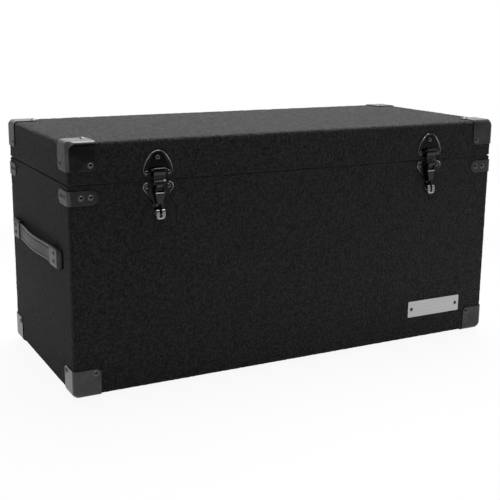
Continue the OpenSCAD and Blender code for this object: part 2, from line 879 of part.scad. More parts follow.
module at_name_plate() {
    translate([name_x, -case_d / 2, foot_h + name_z]) children();
}

module name_plate() {
    color("#c4c4c4") at_name_plate() facing(0, name_t) difference() {
        rounded_rect(name_w, name_h, 2);
        for (s = [-1, 1]) translate([s * name_pitch / 2, 0]) circle(d = shank_d + 2 * pin_fit);
    }
}

module name_plate_screws() {
    color("#b0b0b0") at_name_plate() for (s = [-1, 1])
        translate([s * name_pitch / 2, -name_t, 0]) rotate([90, 0, 0])
            rivet(7, 1.4, shank_d / 2, name_t);
}

// ---- Hinges on the back ----

// A hinge is drawn as if on the front face: out is -Y, the seam is at z = 0
module at_hinge(side) {
    translate([side * hinge_x, case_d / 2, seam_z]) rotate([0, 0, 180]) children();
}

module at_leaf_rivets() {
    for (p = [[-leaf_rivet_x, -0.42], [0, -0.72], [leaf_rivet_x, -0.42]])
        translate([p[0], -leaf_t, p[1] * leaf_h]) rotate([90, 0, 0]) children();
}

// Lower leaf with its own knuckles: first = 0 takes the odd places, first = 1 the even ones
module hinge_leaf(first, tab) {
    clear = knuckle_r + 0.5;
    corner = 5;
    difference() {
        union() {
            facing(0, leaf_t) difference() {
                translate([0, -leaf_h]) rounded_panel(hinge_w, leaf_h - clear, corner, 0.5);
            }
            for (i = [first : 2 : knuckles - 1])
                translate([(i + 0.5) * knuckle_w - hinge_w / 2, 0, 0])
                    across(knuckle_w - knuckle_gap) {
                        translate([axis_out, 0]) circle(knuckle_r);
                        translate([0, -clear - 1]) square([leaf_t, clear + 1]);
                        if (tab) stop_tab();
                    }
        }
        across(hinge_w + 1) translate([axis_out, 0]) circle(hinge_pin_r + pin_fit);
        at_leaf_rivets() translate([0, 0, -2 * leaf_t])
            cylinder(d = shank_d + 2 * pin_fit, h = 4 * leaf_t);
    }
}

// Stop tab on a lid knuckle, drawn on the leaf that hangs down before it is turned over
module stop_tab() {
    start = [axis_out, 0];
    along = [cos(tab_angle), -sin(tab_angle)];
    sheet([start + (knuckle_r - 0.5) * along, start + tab_len * along], leaf_t);
}

module hinge_body_leaf() { color("#77777a") hinge_leaf(0, false); }
module hinge_lid_leaf() { color("#77777a") mirror([0, 0, 1]) hinge_leaf(1, true); }
module hinge_pin() { color("#9a9a9c") across(hinge_w) translate([axis_out, 0]) circle(hinge_pin_r); }

module hinge_body_leaf_left() { at_hinge(-1) hinge_body_leaf(); }
module hinge_body_leaf_right() { at_hinge(1) hinge_body_leaf(); }
module hinge_lid_leaf_left() { at_hinge(-1) hinge_lid_leaf(); }
module hinge_lid_leaf_right() { at_hinge(1) hinge_lid_leaf(); }
module hinge_pin_left() { at_hinge(-1) hinge_pin(); }
module hinge_pin_right() { at_hinge(1) hinge_pin(); }

module leaf_rivets() {
    at_leaf_rivets() rivet(small_rivet_d, small_rivet_rise, shank_d / 2, leaf_t);
}

module hinge_body_rivets() { color("#a8a8a8") for (s = [-1, 1]) at_hinge(s) leaf_rivets(); }
module hinge_lid_rivets() {
    color("#a8a8a8") for (s = [-1, 1]) at_hinge(s) mirror([0, 0, 1]) leaf_rivets();
}

// ---- Feet ----

module at_feet() {
    for (sx = [-1, 1], sy = [-1, 1])
        translate([sx * (case_w / 2 - foot_inset), sy * (case_d / 2 - foot_inset), 0]) children();
}

module rubber_feet() {
    bevel = 1.5;
    color("#161616") at_feet() difference() {
        union() {
            cylinder(d1 = foot_d - 2 * bevel, d2 = foot_d, h = bevel);
            translate([0, 0, bevel]) cylinder(d = foot_d, h = foot_h - bevel);
        }
        translate([0, 0, -1]) cylinder(d = shank_d + 2 * pin_fit, h = foot_h + 2);
        translate([0, 0, -1]) cylinder(d = screw_head_d + 1, h = foot_h / 2 + 1);
    }
}

module foot_screws() {
    color("#b0b0b0") at_feet() translate([0, 0, foot_h / 2]) mirror([0, 0, 1])
        rivet(screw_head_d, screw_rise, shank_d / 2, foot_h / 2);
}

base_bottom_panel();
base_front_panel();
base_back_panel();
base_left_panel();
base_right_panel();
base_carpet();
floor_pad();
divider_board();
divider_rails();
base_corners();
base_corner_rivets();
edge_brackets();
bracket_rivets();
latch_base_left();
latch_base_right();
latch_pivot_left();
latch_pivot_right();
padlock_staple_left();
padlock_staple_right();
latch_base_rivets();
hinge_body_leaf_left();
hinge_body_leaf_right();
hinge_pin_left();
hinge_pin_right();
hinge_body_rivets();
handle_caps_left();
handle_caps_right();
handle_strap_left();
handle_strap_right();
handle_screws();
name_plate();
name_plate_screws();
rubber_feet();
foot_screws();
lid_top_panel();
lid_front_rail();
lid_back_rail();
lid_left_rail();
lid_right_rail();
lid_carpet();
lid_pad();
lid_corners();
lid_corner_rivets();
latch_keeper_left();
latch_keeper_right();
latch_keeper_rivets();
hinge_lid_leaf_left();
hinge_lid_leaf_right();
hinge_lid_rivets();
latch_lever_left();
latch_lever_right();
latch_link_pin_left();
latch_link_pin_right();
latch_hook_left();
latch_hook_right();
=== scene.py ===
from math import atan2, cos, pi, sin, sqrt

import bmesh
import bpy
from mathutils import Matrix, Vector, noise


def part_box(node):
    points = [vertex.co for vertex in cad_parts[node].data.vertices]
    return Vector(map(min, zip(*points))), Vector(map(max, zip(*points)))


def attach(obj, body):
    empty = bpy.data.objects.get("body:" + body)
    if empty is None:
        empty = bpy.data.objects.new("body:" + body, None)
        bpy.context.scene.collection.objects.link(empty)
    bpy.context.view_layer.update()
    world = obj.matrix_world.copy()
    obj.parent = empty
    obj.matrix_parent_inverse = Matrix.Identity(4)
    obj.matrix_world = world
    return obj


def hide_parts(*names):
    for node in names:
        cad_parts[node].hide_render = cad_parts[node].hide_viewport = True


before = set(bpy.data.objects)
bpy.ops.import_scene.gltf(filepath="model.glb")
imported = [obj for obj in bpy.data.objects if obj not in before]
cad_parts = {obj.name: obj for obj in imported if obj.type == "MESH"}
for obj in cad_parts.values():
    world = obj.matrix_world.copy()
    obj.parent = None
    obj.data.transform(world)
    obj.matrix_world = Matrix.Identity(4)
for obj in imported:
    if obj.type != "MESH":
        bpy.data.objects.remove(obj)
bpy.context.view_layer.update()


# ---- Room and camera ----
# The case stands in a plain white studio. The photograph was taken with a long lens from the
# front left, a little above the lid.

CAMERA_AT = Vector((-0.7984, -1.4951, 0.5826))
LOOKS_ALONG = Vector((0.4502, 0.8657, -0.2187))
CAMERA_UP = Vector((0.0935, 0.1979, 0.9758))
LENS, SENSOR = 68.4, 36
SHIFT = (0.0131, -0.0424)
CLIP = (0.05, 60)
WHITE = (1, 1, 1, 1)
ROOM_LIGHT = 0.09
FLOOR_SIZE = 40.0
SHADOW_NEAR, SHADOW_REACH = 0.5, 1.3
WHITENESS_NEAR = 0.93


def linear(hex_colour):
    """An sRGB hex colour as the linear RGBA that a shader socket takes."""
    channels = [int(hex_colour[i:i + 2], 16) / 255 for i in (1, 3, 5)]
    return [c / 12.92 if c <= 0.04045 else ((c + 0.055) / 1.055) ** 2.4 for c in channels] + [1.0]


def set_inputs(node, inputs):
    """Gives each socket of a node its constant, or a link from its source output."""
    for socket, value in inputs.items():
        if isinstance(value, bpy.types.NodeSocket):
            node.id_data.links.new(value, node.inputs[socket])
        else:
            node.inputs[socket].default_value = value


def add_node(tree, kind, inputs=(), stops=(), **settings):
    """Adds a node with its inputs and settings; stops are a ramp's positions and hex colours."""
    made = tree.nodes.new(kind)
    for name, value in settings.items():
        setattr(made, name, value)
    set_inputs(made, dict(inputs))
    if stops:
        points = made.color_ramp.elements
        points.remove(points[-1])
        points[0].position, points[0].color = stops[0][0], linear(stops[0][1])
        for position, colour in stops[1:]:
            points.new(position).color = linear(colour)
    return made


def new_material(name, inputs):
    """A material with one Principled shader; its constants are set on the shader itself."""
    made = bpy.data.materials.new(name)
    made.use_nodes = True
    shader = made.node_tree.nodes["Principled BSDF"]
    set_inputs(shader, inputs)
    return made, made.node_tree, shader


scene = bpy.context.scene
scene.view_settings.view_transform = "Standard"

camera = bpy.data.objects.new("camera", bpy.data.cameras.new("camera"))
scene.collection.objects.link(camera)
backward = -LOOKS_ALONG.normalized()
across = CAMERA_UP.cross(backward).normalized()
upward = backward.cross(across)
turned = Matrix((across, upward, backward)).transposed()
camera.matrix_world = Matrix.Translation(CAMERA_AT) @ turned.to_4x4()
camera.data.lens, camera.data.sensor_width = LENS, SENSOR
camera.data.shift_x, camera.data.shift_y = SHIFT
camera.data.clip_start, camera.data.clip_end = CLIP
scene.camera = camera


def seen_directly(tree):
    """1 for what the lens sees, also by way of polished metal, and 0 for light that scatters."""
    ray = add_node(tree, "ShaderNodeLightPath")
    seen = ray.outputs["Is Camera Ray"]
    for kind in ("Is Glossy Ray", "Is Transmission Ray"):
        seen = add_node(tree, "ShaderNodeMath", {0: seen, 1: ray.outputs[kind]},
                        operation="MAXIMUM").outputs[0]
    return seen


# The room is white to look at, and dimmer as a lamp
world = bpy.data.worlds.new("white_room")
scene.world = world
world.use_nodes = True
tree = world.node_tree
tree.nodes.clear()
strength = add_node(tree, "ShaderNodeMapRange",
                    {"Value": seen_directly(tree), "To Min": ROOM_LIGHT, "To Max": 1.0})
back = add_node(tree, "ShaderNodeBackground", {"Color": WHITE, "Strength": strength.outputs[0]})
add_node(tree, "ShaderNodeOutputWorld", {"Surface": back.outputs[0]})


def stage_card(name, material, size, at, turn):
    """A flat rectangle of the studio, which isn't part of the case."""
    bm = bmesh.new()
    bmesh.ops.create_grid(bm, x_segments=1, y_segments=1, size=0.5)
    bmesh.ops.scale(bm, vec=(size[0], size[1], 1), verts=bm.verts)
    mesh = bpy.data.meshes.new(name)
    bm.to_mesh(mesh)
    bm.free()
    mesh.materials.append(material)
    card = bpy.data.objects.new(name, mesh)
    card.location = at
    card.rotation_euler = turn
    scene.collection.objects.link(card)
    return card


# White paper: it keeps the case's shadow close by, and fades to plain white further off. It also
# throws most light up from close to the case, and little from further off.
paper = bpy.data.materials.new("white_paper_floor")
paper.use_nodes = True
tree = paper.node_tree
tree.nodes.clear()
place = add_node(tree, "ShaderNodeTexCoord")
reach = add_node(tree, "ShaderNodeVectorMath", {0: place.outputs["Object"]}, operation="LENGTH")
nearby = add_node(tree, "ShaderNodeValToRGB", {"Fac": reach.outputs["Value"]},
                  stops=((0.65, "#f4f4f4"), (1.0, "#8a8a8a")))
matt = add_node(tree, "ShaderNodeBsdfDiffuse", {"Color": nearby.outputs[0]})
white = add_node(tree, "ShaderNodeEmission", {"Color": WHITE, "Strength": 1.0})
fade = add_node(tree, "ShaderNodeMapRange",
                {"Value": reach.outputs["Value"], "From Min": SHADOW_NEAR, "From Max": SHADOW_REACH,
                 "To Min": WHITENESS_NEAR, "To Max": 1.0})
share = add_node(tree, "ShaderNodeMath", {0: seen_directly(tree), 1: fade.outputs[0]},
                 operation="MULTIPLY")
mixed = add_node(tree, "ShaderNodeMixShader",
                 {0: share.outputs[0], 1: matt.outputs[0], 2: white.outputs[0]})
add_node(tree, "ShaderNodeOutputMaterial", {"Surface": mixed.outputs[0]})
stage_card("floor", paper, size=(FLOOR_SIZE, FLOOR_SIZE), at=(0, 0, 0), turn=(0, 0, 0))

# Two felt cards that the lens doesn't see give the polished steel walls to mirror: a black one in
# front of the case, and a pale one behind its left end
for name, colour, size, at in (("black_card", "#141414", (3.05, 2.4), (0.025, -1.55, 1.2)),
                               ("grey_card", "#f0f0f0", (2.6, 1.6), (-1.75, 1.25, 0.8))):
    felt = new_material(name + "_felt", {"Base Color": linear(colour), "Roughness": 1.0})[0]
    stage_card(name, felt, size=size, at=at, turn=(pi / 2, 0, 0)).visible_camera = False


def softbox(name, at, towards, size, watts):
    """A square diffused lamp that faces a point."""
    lamp = bpy.data.lights.new(name, "AREA")
    lamp.shape, lamp.size, lamp.energy = "SQUARE", size, watts
    stand = bpy.data.objects.new(name, lamp)
    stand.location = at
    stand.rotation_euler = (Vector(towards) - Vector(at)).to_track_quat("-Z", "Y").to_euler()
    scene.collection.objects.link(stand)


softbox("overhead", at=(0.45, 0.6, 2.3), towards=(0.1, 0, 0.3), size=1.8, watts=84)
# A small one over the front left puts a crescent of light on each rivet and rolled rim
softbox("front_top", at=(-0.42, -1.25, 1.9), towards=(0, -0.18, 0.25), size=0.5, watts=6)


# ---- Plywood shell ----
# Five birch plywood panels make the body and five the lid, glued at their edges, and a divider
# board stands in two grooved rails. All are oiled inside, and the cut edges at the seam are
# sealed with black paint.

SEAM_Z = 0.338
PAINT_BAND = 0.004
PLY_PALE, PLY_BROWN, BLACK_PAINT = "#c9a877", "#a9814f", "#121212"
# Streaks of grain, 83 mm long and 5.6 mm wide
GRAIN_LONG, GRAIN_WIDE = 1 / 12, 1 / 180


def dress(material, *nodes):
    """Gives CAD nodes their finish."""
    for name in nodes:
        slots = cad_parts[name].data.materials
        slots.clear()
        slots.append(material)


crosswise = [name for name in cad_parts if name.endswith(("left_panel", "right_panel"))]
crosswise.append("divider_board")
lengthwise = [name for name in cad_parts
              if name.endswith(("_panel", "_rail")) and name not in crosswise]
lengthwise.append("divider_rails")

# Oiled birch is satin, pale with brown streaks. They run along the case in its long panels, and
# from front to back in its ends.
for name, streak, panels in (
        ("oiled_birch_lengthwise", (GRAIN_LONG, GRAIN_WIDE, GRAIN_WIDE), lengthwise),
        ("oiled_birch_crosswise", (GRAIN_WIDE, GRAIN_LONG, GRAIN_WIDE), crosswise)):
    birch, tree, shader = new_material(name, {"Roughness": 0.55})
    place = add_node(tree, "ShaderNodeTexCoord")
    stretch = add_node(tree, "ShaderNodeMapping",
                       {"Vector": place.outputs["Object"], "Scale": [1 / size for size in streak]})
    grain = add_node(tree, "ShaderNodeTexNoise",
                     {"Vector": stretch.outputs[0], "Scale": 1.0, "Detail": 6.0})
    tone = add_node(tree, "ShaderNodeValToRGB", {"Fac": grain.outputs["Fac"]},
                    stops=((0.35, PLY_BROWN), (0.6, PLY_PALE)))
    # The black paint of the cut edges runs a little way down inside
    height = add_node(tree, "ShaderNodeSeparateXYZ", {"Vector": place.outputs["Object"]})
    painted = add_node(tree, "ShaderNodeMath", {0: height.outputs["Z"], 1: SEAM_Z, 2: PAINT_BAND},
                       operation="COMPARE")
    finish = add_node(tree, "ShaderNodeMix",
                      {"Factor": painted.outputs[0], 6: tone.outputs[0], 7: linear(BLACK_PAINT)},
                      data_type="RGBA")
    relief = add_node(tree, "ShaderNodeBump",
                      {"Height": grain.outputs["Fac"], "Strength": 0.15, "Distance": 0.0005})
    set_inputs(shader, {"Base Color": finish.outputs[2], "Normal": relief.outputs[0]})
    dress(birch, *panels)


# ---- Carpet ----
# Black needle-punched polyester carpet, 3 mm thick, glued over the plywood of body and lid. At
# the seam it turns over the plywood's edge in a soft lip and ends inside.

CARPET_THICK = 0.003
CARPET_LIP = 0.0021
LIP_STEPS = 4
EDGE_RADIUS = 0.006
# The ball under each domed steel corner: how far its centre lies in from each face, its radius,
# and the room left between it and the pile
BALL_IN = 0.011
BALL_RADIUS = sqrt(2) * BALL_IN - EDGE_RADIUS * (sqrt(2) - 1)
BALL_CLEAR = 0.0003
# The modelled pile: its mesh, its depth, and its humps and loops to the metre
PILE_CELL = 0.0034
PILE_RELIEF = 0.00035
HUMPS, HUMP_SHARE = 220, 1.4
LOOPS, LOOP_SHARE, LOOP_SHIFT = 900, 0.6, Vector((7, 3, 5))
PILE_SINK = 0.9
SHORT_EDGE = 0.02
# The pile's pattern: loops, the clumps that the needles left, and specks of lint
LOOP_WIDE, CLUMP_WIDE, LINT_WIDE = 0.002, 0.0036, 0.005

# Looped polyester pile is matt and near black, and turns grey where it is seen edge on
carpet, tree, shader = new_material(
    "black_looped_carpet", {"Roughness": 0.95, "Specular IOR Level": 0.15, "Sheen Weight": 0.23,
                            "Sheen Roughness": 0.45, "Sheen Tint": linear("#d8d8d8")})
place = add_node(tree, "ShaderNodeTexCoord")
loops = add_node(tree, "ShaderNodeTexVoronoi",
                 {"Vector": place.outputs["Object"], "Scale": 1 / LOOP_WIDE})
clumps = add_node(tree, "ShaderNodeTexNoise",
                  {"Vector": place.outputs["Object"], "Scale": 1 / CLUMP_WIDE, "Detail": 2.0,
                   "Roughness": 0.7})
tone = add_node(tree, "ShaderNodeValToRGB", {"Fac": clumps.outputs["Fac"]},
                stops=((0.34, "#171717"), (0.68, "#3b3b3b")))
# Lint and dust settle on the faces that look up
lint = add_node(tree, "ShaderNodeTexNoise",
                {"Vector": place.outputs["Object"], "Scale": 1 / LINT_WIDE, "Detail": 2.0})
specks = add_node(tree, "ShaderNodeMapRange",
                  {"Value": lint.outputs["Fac"], "From Min": 0.44, "From Max": 0.75})
facing = add_node(tree, "ShaderNodeSeparateXYZ", {"Vector": place.outputs["Normal"]})
settled = add_node(tree, "ShaderNodeMath", {0: specks.outputs[0], 1: facing.outputs["Z"]},
                   operation="MULTIPLY", use_clamp=True)
dusty = add_node(tree, "ShaderNodeMix",
                 {"Factor": settled.outputs[0], 6: tone.outputs[0], 7: linear("#545454")},
                 data_type="RGBA")
height = add_node(tree, "ShaderNodeMath", {0: loops.outputs["Distance"], 1: clumps.outputs["Fac"]},
                  operation="ADD")
relief = add_node(tree, "ShaderNodeBump",
                  {"Height": height.outputs[0], "Strength": 0.9, "Distance": 0.002})
set_inputs(shader, {"Base Color": dusty.outputs[2], "Normal": relief.outputs[0]})


def new_piece(name, bm, body, material, smooth=True):
    """Makes a piece of a finished bmesh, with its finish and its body."""
    bmesh.ops.recalc_face_normals(bm, faces=bm.faces)
    mesh = bpy.data.meshes.new(name)
    bm.normal_update()
    bm.to_mesh(mesh)
    bm.free()
    mesh.materials.append(material)
    if smooth:
        mesh.shade_smooth()
    piece = bpy.data.objects.new(name, mesh)
    scene.collection.objects.link(piece)
    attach(piece, body)
    return piece


def new_box(size):
    """A plain box round the origin, to be shaped further."""
    bm = bmesh.new()
    bmesh.ops.create_cube(bm, size=1)
    bmesh.ops.scale(bm, vec=size, verts=bm.verts)
    return bm


def round_edges(bm, edges, radius):
    """Rounds edges to a radius."""
    bmesh.ops.bevel(bm, geom=edges, offset=radius, offset_type="OFFSET", affect="EDGES",
                    segments=4, profile=0.5, material=-1)


def edges_along(bm, axis, longer_than=0.0):
    """The edges that run along an axis, which is 0, 1 or 2."""
    return [e for e in bm.edges if e.calc_length() > longer_than
            and abs((e.verts[1].co - e.verts[0].co).normalized()[axis]) > 0.999]


def draw_on(bm, edges, shift=(0, 0, 0)):
    """Extrudes open edges along a shift, and returns the new vertices and edges."""
    grown = bmesh.ops.extrude_edge_only(bm, edges=edges)["geom"]
    verts = [part for part in grown if isinstance(part, bmesh.types.BMVert)]
    bmesh.ops.translate(bm, verts=verts, vec=shift)
    return verts, [part for part in grown if isinstance(part, bmesh.types.BMEdge)]


def carpet_shell(node, body, closed_end):
    """Five carpeted faces with soft lips at the open end; closed_end is -1 for below, 1 for above."""
    low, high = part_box(node)
    size, centre = high - low, (low + high) / 2
    bm = new_box((size.x, size.y, size.z - CARPET_LIP))
    bmesh.ops.translate(bm, verts=bm.verts, vec=centre + Vector((0, 0, closed_end * CARPET_LIP / 2)))
    open_face = [f for f in bm.faces if f.normal.z * closed_end < -0.5]
    bmesh.ops.delete(bm, geom=open_face, context="FACES_ONLY")
    round_edges(bm, [e for e in bm.edges if not e.is_boundary], EDGE_RADIUS)
    for axis in range(3):
        bmesh.ops.subdivide_edges(bm, edges=edges_along(bm, axis, longer_than=SHORT_EDGE),
                                  cuts=round(size[axis] / PILE_CELL), use_grid_fill=True)
    # Under the domed steel corners the carpet is drawn in to their inner radius
    for v in bm.verts:
        corner = Vector((1 if v.co.x > 0 else -1, 1 if v.co.y > 0 else -1, closed_end))
        ball = centre + corner * (size / 2 - Vector((BALL_IN, BALL_IN, BALL_IN)))
        out = v.co - ball
        if min(out * corner) > 0 and out.length > BALL_RADIUS - BALL_CLEAR:
            v.co = ball + out.normalized() * (BALL_RADIUS - BALL_CLEAR)
    bm.normal_update()
    for v in bm.verts:
        if not v.is_boundary:
            humps = HUMP_SHARE * noise.noise(v.co * HUMPS)
            loops = LOOP_SHARE * noise.noise(v.co * LOOPS + LOOP_SHIFT)
            v.co += v.normal * PILE_RELIEF * (humps + loops - PILE_SINK)
    # The lip turns over the plywood's edge in a quarter round, then runs back down inside
    turns = [pi / 2 * k / LIP_STEPS for k in range(1, LIP_STEPS + 1)]
    path = [(CARPET_LIP * (1 - cos(turn)), CARPET_LIP * sin(turn)) for turn in turns]
    path += [(CARPET_THICK, CARPET_LIP), (CARPET_THICK, CARPET_THICK - (size.z - CARPET_LIP))]
    rim = [e for e in bm.edges if e.is_boundary]
    half = size / 2
    inward, rise = 0.0, 0.0
    for to_inward, to_rise in path:
        verts, rim = draw_on(bm, rim)
        shrink = Vector(((half.x - to_inward) / (half.x - inward),
                         (half.y - to_inward) / (half.y - inward), 1))
        bmesh.ops.translate(bm, verts=verts, vec=-centre)
        bmesh.ops.scale(bm, vec=shrink, verts=verts)
        bmesh.ops.translate(bm, verts=verts, vec=centre - Vector((0, 0, closed_end * (to_rise - rise))))
        inward, rise = to_inward, to_rise
    bmesh.ops.contextual_create(bm, geom=rim)
    piece = new_piece(body + "_carpet_pile", bm, body, carpet)
    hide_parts(node)


carpet_shell("base_carpet", "base", closed_end=-1)
carpet_shell("lid_carpet", "lid", closed_end=1)


# ---- Steel corners, edge brackets and rivets ----
# Three-way corners and edge brackets, pressed from 1.4 mm sheet steel and black nickel plated.
# Each is held to the plywood through the carpet by domed rivets with the same plate.

# Radius that the blanking die leaves on a cut edge
PRESSED_EDGE = 0.0009
SCUFF_WIDE = 0.02

# Black nickel over pressed steel: dark grey metal that mirrors the room softly, and blurs where
# it is scuffed
nickel, tree, shader = new_material("black_nickel_plated_steel", {"Metallic": 1.0})
place = add_node(tree, "ShaderNodeTexCoord")
scuffs = add_node(tree, "ShaderNodeTexNoise",
                  {"Vector": place.outputs["Object"], "Scale": 1 / SCUFF_WIDE, "Detail": 8.0})
tone = add_node(tree, "ShaderNodeValToRGB", {"Fac": scuffs.outputs["Fac"]},
                stops=((0.3, "#383838"), (0.7, "#464646")))
gloss = add_node(tree, "ShaderNodeMapRange",
                 {"Value": scuffs.outputs["Fac"], "To Min": 0.22, "To Max": 0.34})
rounded = add_node(tree, "ShaderNodeBevel", {"Radius": PRESSED_EDGE}, samples=6)
set_inputs(shader, {"Base Color": tone.outputs[0], "Roughness": gloss.outputs[0],
                    "Normal": rounded.outputs[0]})
dress(nickel, "base_corners", "lid_corners", "edge_brackets")

# The same plate on domed heads: each shows one bright crescent of light
rivet_nickel = new_material("black_nickel_rivets", {"Base Color": linear("#4c4c4c"), "Metallic": 1.0,
                                                    "Roughness": 0.22})[0]
dress(rivet_nickel, "base_corner_rivets", "lid_corner_rivets", "bracket_rivets")


# ---- Draw latches ----
# Keeper, base plate, lever and hook are pressed steel in polished black nickel, riveted to the
# front. Both plates have a thin rolled rim and the lever a turned lip, all painted bright as
# painted highlights, and the padlock staple is a bright plated zinc casting.

SIDES = ((-1, "left"), (1, "right"))
LATCH_X = 0.257
WIRE_SIDES, ARC_STEPS = 12, 16
RIM_WIRE = 0.001
# The keeper's border is an arch of three arcs: one over the top, and a wider one down each side,
# whose centre is given from the seam and whose ends are turned up from level
BORDER_THICK = 0.001
ARCH_TOP_RADIUS = 0.016
ARCH_SIDE_RADIUS = 0.045
ARCH_SIDE_Z = SEAM_Z + 0.009
ARCH_FOOT, ARCH_TURN = 0.09, 0.777
# The base plate's rim goes round each shoulder in one arc, and on down in a straight tail
BASE_RIM_OUT = 0.0013
SHOULDER_X, SHOULDER_DROP, SHOULDER_RADIUS = 0.018, 0.0095, 0.0064
SHOULDER_START, SHOULDER_STOP = 1.75, -0.611
RIM_TAIL = 0.027
# The lever's turned lip, down from the seam and out from the carpet
LEVER_LIP_WIRE = 0.0009
LEVER_LIP_LONG = 0.0138
LEVER_LIP_DROP = 0.0184
LEVER_LIP_OUT = 0.0087
# The rims' painted highlight is drawn by height, from their tails to the top of the arch
HIGHLIGHT_LOW, HIGHLIGHT_HIGH = SEAM_Z - 0.034, SEAM_Z + 0.048
PEEL_WIDE, RIPPLE_WIDE, HIGHLIGHT_PATCH_WIDE, RUB_WIDE = 0.0015, 0.003, 0.012, 0.004

# Polished black nickel: a darker, clearer mirror, with the faint orange peel of the plating bath
polished, tree, shader = new_material("polished_black_nickel_steel", {
    "Base Color": linear("#3a3a3a"), "Metallic": 1.0, "Roughness": 0.2})
place = add_node(tree, "ShaderNodeTexCoord")
peel = add_node(tree, "ShaderNodeTexNoise",
                {"Vector": place.outputs["Object"], "Scale": 1 / PEEL_WIDE})
rounded = add_node(tree, "ShaderNodeBevel", {"Radius": PRESSED_EDGE}, samples=6)
relief = add_node(tree, "ShaderNodeBump", {"Height": peel.outputs["Fac"], "Normal": rounded.outputs[0],
                                           "Strength": 0.08, "Distance": 0.0003})
set_inputs(shader, {"Normal": relief.outputs[0]})

# Bright plated zinc: pale metal, with the ripples that the die left under the plating
bright, tree, shader = new_material("bright_plated_zinc", {
    "Base Color": linear("#9a9a9a"), "Metallic": 1.0, "Roughness": 0.24})
place = add_node(tree, "ShaderNodeTexCoord")
ripple = add_node(tree, "ShaderNodeTexNoise",
                  {"Vector": place.outputs["Object"], "Scale": 1 / RIPPLE_WIDE})
rounded = add_node(tree, "ShaderNodeBevel", {"Radius": PRESSED_EDGE}, samples=6)
relief = add_node(tree, "ShaderNodeBump", {"Height": ripple.outputs["Fac"], "Normal": rounded.outputs[0],
                                           "Strength": 0.35, "Distance": 0.0006})
set_inputs(shader, {"Normal": relief.outputs[0]})

# The rolled rims are nickel painted bright by height, a painted highlight: brightest over the top
# of the arch and on the shoulders of the base plate, dark at their tails, and patchy at random
rim_painted_highlight, tree, shader = new_material("nickel_rim_painted_highlight", {"Metallic": 1.0, "Roughness": 0.25})
place = add_node(tree, "ShaderNodeTexCoord")
highlight_patches = add_node(tree, "ShaderNodeTexNoise",
                {"Vector": place.outputs["Object"], "Scale": 1 / HIGHLIGHT_PATCH_WIDE})
height = add_node(tree, "ShaderNodeSeparateXYZ", {"Vector": place.outputs["Object"]})
highlight_height = add_node(tree, "ShaderNodeMapRange",
                 {"Value": height.outputs["Z"], "From Min": HIGHLIGHT_LOW, "From Max": HIGHLIGHT_HIGH})
tone = add_node(tree, "ShaderNodeValToRGB", {"Fac": highlight_height.outputs[0]},
                stops=((0.0, "#262626"), (0.14, "#2c2c2c"), (0.30, "#8c8c8c"), (0.40, "#8c8c8c"),
                       (0.56, "#4e4e4e"), (0.80, "#8c8c8c"), (1.0, "#a2a2a2")))
patchy = add_node(tree, "ShaderNodeMapRange",
                  {"Value": highlight_patches.outputs["Fac"], "To Min": 0.75, "To Max": 1.25})
uneven = add_node(tree, "ShaderNodeVectorMath", {0: tone.outputs[0], "Scale": patchy.outputs[0]},
                  operation="SCALE")
set_inputs(shader, {"Base Color": uneven.outputs[0]})

# The lever's lip is painted bare bright nickel, a painted highlight along the lever's top edge, uneven in
# random patches
lip_painted_highlight, tree, shader = new_material("lever_lip_painted_nickel_highlight", {"Metallic": 1.0, "Roughness": 0.28})
place = add_node(tree, "ShaderNodeTexCoord")
rubs = add_node(tree, "ShaderNodeTexNoise", {"Vector": place.outputs["Object"], "Scale": 1 / RUB_WIDE})
tone = add_node(tree, "ShaderNodeValToRGB", {"Fac": rubs.outputs["Fac"]},
                stops=((0.0, "#a0a0a0"), (1.0, "#d8d8d8")))
set_inputs(shader, {"Base Color": tone.outputs[0]})


def start_wire(bm, radius, turn, at):
    """Closes the near end of a round wire with a disc, and returns the edges to draw on from it."""
    ring = bmesh.ops.create_circle(bm, segments=WIRE_SIDES, radius=radius)["verts"]
    bmesh.ops.rotate(bm, verts=ring, cent=(0, 0, 0), matrix=turn)
    bmesh.ops.translate(bm, verts=ring, vec=at)
    edges = list(dict.fromkeys(e for v in ring for e in v.link_edges))
    bmesh.ops.contextual_create(bm, geom=edges)
    return edges


def on_arc(centre, radius, angle):
    """The point of an upright arc at an angle turned up from the +X side."""
    return centre + radius * Vector((cos(angle), 0, sin(angle)))


def spin_along(bm, geom, arcs):
    """Spins edges, or one vertex, along arcs (centre, radius, start, stop), and returns the end."""
    kind = type(geom[0])
    for centre, radius, start, stop in arcs:
        spun = bmesh.ops.spin(bm, geom=geom, cent=centre, axis=(0, -1, 0), angle=stop - start,
                              steps=ARC_STEPS)
        geom = [part for part in spun["geom_last"] if isinstance(part, kind)]
    return geom


def rolled_rim(bm, arcs, tail=0.0):
    """A wire along arcs, then straight on for the tail."""
    first = arcs[0][2]
    edges = start_wire(bm, RIM_WIRE, Matrix.Rotation(-first, 3, "Y"), on_arc(*arcs[0][:3]))
    edges = spin_along(bm, edges, arcs)
    if tail:
        start, stop = arcs[-1][2:]
        along = Vector((-sin(stop), 0, cos(stop))) * (1 if stop > start else -1)
        edges = draw_on(bm, edges, along * tail)[1]
    bmesh.ops.contextual_create(bm, geom=edges)


